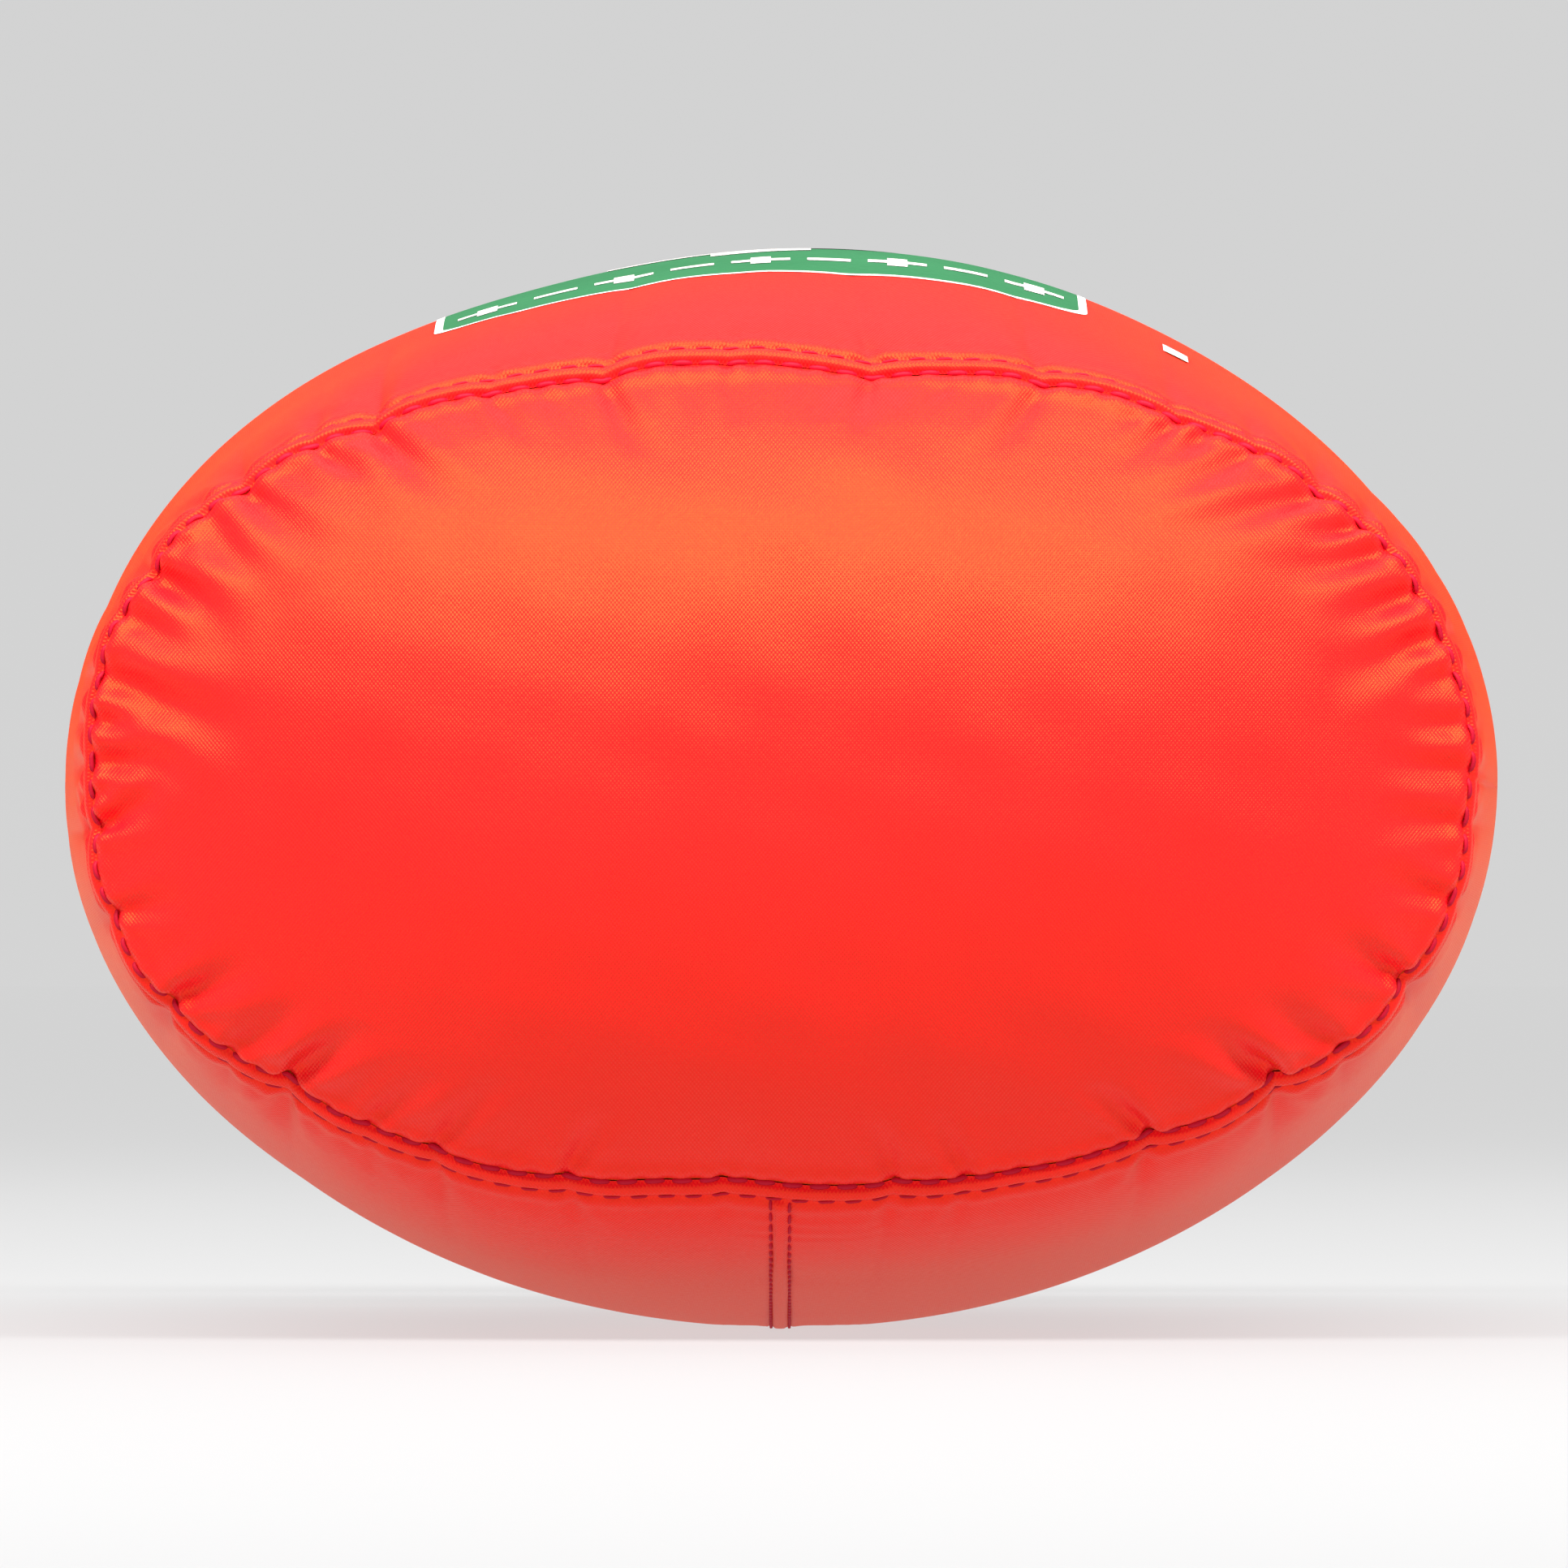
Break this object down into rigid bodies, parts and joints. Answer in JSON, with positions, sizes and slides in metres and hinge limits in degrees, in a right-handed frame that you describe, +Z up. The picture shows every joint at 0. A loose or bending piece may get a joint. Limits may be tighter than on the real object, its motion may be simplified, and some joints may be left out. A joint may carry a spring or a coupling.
{
  "type": "first aid kit",
  "caption": "Oval-based coated-fabric first aid bag with a rolled, buckled mouth that forms a carrying loop, packed with dressings, bandages, scissors and tweezers.",
  "frame": {"origin": "on the floor under the middle of the bag's length, on its plane of symmetry", "axes": "+X to the right seen from the base end, +Y from the sewn base to the rolled mouth, +Z up, out of the printed front; the bag lies on its back"},
  "size_m": [0.185, 0.2866, 0.1407],
  "materials": {
    "fabric": "coated nylon, satin",
    "tape": "heat-sealed seam tape",
    "print": "screen print, matt",
    "strip": "matt",
    "webbing": "woven",
    "plastic": "moulded, satin",
    "elastic": "crepe weave",
    "cotton": "gauze",
    "foil": "metallised film",
    "spool": "moulded",
    "wrapper": "coated paper",
    "nitrile": "thin film",
    "paper": "plain",
    "plaster": "woven",
    "steel": "polished"
  },
  "bodies": {
    "bag": {"wall_panel": "fabric", "base_panel": "fabric", "base_seam_tape": "tape", "back_seam_tape": "tape", "front_print": "print", "roll_middle": "fabric", "stiffener_strip": "strip", "emergency_blanket": "foil", "elastic_bandage_wide": "elastic", "elastic_bandage_narrow": "elastic", "gauze_bandage": "cotton", "tape_spool": "spool", "tape_winding": "cotton", "triangular_bandage": "cotton", "wound_dressing_1": "wrapper", "wound_dressing_2": "wrapper", "wound_dressing_3": "wrapper", "antiseptic_wipes": "wrapper", "nitrile_gloves": "nitrile", "first_aid_leaflet": "paper", "plaster_wallet": "paper", "plaster_strips": "plaster", "scissors_fixed_blade": "steel", "scissors_rivet": "steel", "safety_pin_1": "steel", "safety_pin_2": "steel", "safety_pin_3": "steel"},
    "left_arm": {"roll_left_arm": "fabric"},
    "right_arm": {"roll_right_arm": "fabric"},
    "socket_half": {"buckle_socket": "plastic", "webbing_socket_side": "webbing"},
    "plug_half": {"buckle_plug": "plastic", "webbing_plug_side": "webbing"},
    "prong_upper": {"buckle_prong_upper": "plastic"},
    "prong_lower": {"buckle_prong_lower": "plastic"},
    "ring": {"d_ring": "plastic"},
    "scissors_blade": {"scissors_moving_blade": "steel"},
    "tweezers_left": {"tweezers_left_arm": "steel"},
    "tweezers_right": {"tweezers_right_arm": "steel"}
  },
  "joints": [
    {"name": "left_arm_swing", "type": "hinge", "parent": "bag", "child": "left_arm", "pos_m": [-0.049, 0.07624, 0.07], "axis": [0, 0, 1], "range_deg": [0, 50], "deforming": ["wall_panel", "stiffener_strip"]},
    {"name": "right_arm_swing", "type": "hinge", "parent": "bag", "child": "right_arm", "pos_m": [0.049, 0.07624, 0.07], "axis": [0, 0, -1], "range_deg": [0, 50], "deforming": ["wall_panel", "stiffener_strip"]},
    {"name": "socket_tilt", "type": "hinge", "parent": "left_arm", "child": "socket_half", "pos_m": [-0.039, 0.12687, 0.07], "axis": [0, 0, -1], "range_deg": [0, 50], "deforming": ["webbing_socket_side"]},
    {"name": "plug_tilt", "type": "hinge", "parent": "right_arm", "child": "plug_half", "pos_m": [0.039, 0.12687, 0.07], "axis": [0, 0, 1], "range_deg": [0, 50], "deforming": ["webbing_plug_side"]},
    {"name": "prong_upper_squeeze", "type": "hinge", "parent": "plug_half", "child": "prong_upper", "pos_m": [0.006, 0.12687, 0.0778], "axis": [0, -1, 0], "range_deg": [0, 10], "stiffness_Nm_per_rad": 0.05, "deforming": ["buckle_prong_upper"]},
    {"name": "prong_lower_squeeze", "type": "hinge", "parent": "plug_half", "child": "prong_lower", "pos_m": [0.006, 0.12687, 0.0622], "axis": [0, 1, 0], "range_deg": [0, 10], "stiffness_Nm_per_rad": 0.05, "deforming": ["buckle_prong_lower"]},
    {"name": "ring_swing", "type": "hinge", "parent": "socket_half", "child": "ring", "pos_m": [-0.033, 0.12687, 0.07], "axis": [0, 0, -1], "range_deg": [-30, 40]},
    {"name": "scissors_open", "type": "hinge", "parent": "bag", "child": "scissors_blade", "pos_m": [0.002, -0.05706, 0.105], "axis": [0, 0, -1], "range_deg": [0, 45]},
    {"name": "tweezers_left_squeeze", "type": "hinge", "parent": "bag", "child": "tweezers_left", "pos_m": [-0.0603, -0.02606, 0.106], "axis": [0, 0, 1], "range_deg": [0, 1.4], "stiffness_Nm_per_rad": 0.2},
    {"name": "tweezers_right_squeeze", "type": "hinge", "parent": "bag", "child": "tweezers_right", "pos_m": [-0.0597, -0.02606, 0.106], "axis": [0, 0, -1], "range_deg": [0, 1.4], "stiffness_Nm_per_rad": 0.2}
  ],
  "couplings": [
    {"joint": "right_arm_swing", "follows": "left_arm_swing", "ratio": 1},
    {"joint": "socket_tilt", "follows": "left_arm_swing", "ratio": 1},
    {"joint": "plug_tilt", "follows": "left_arm_swing", "ratio": 1},
    {"joint": "prong_lower_squeeze", "follows": "prong_upper_squeeze", "ratio": 1},
    {"joint": "tweezers_right_squeeze", "follows": "tweezers_left_squeeze", "ratio": 1}
  ]
}
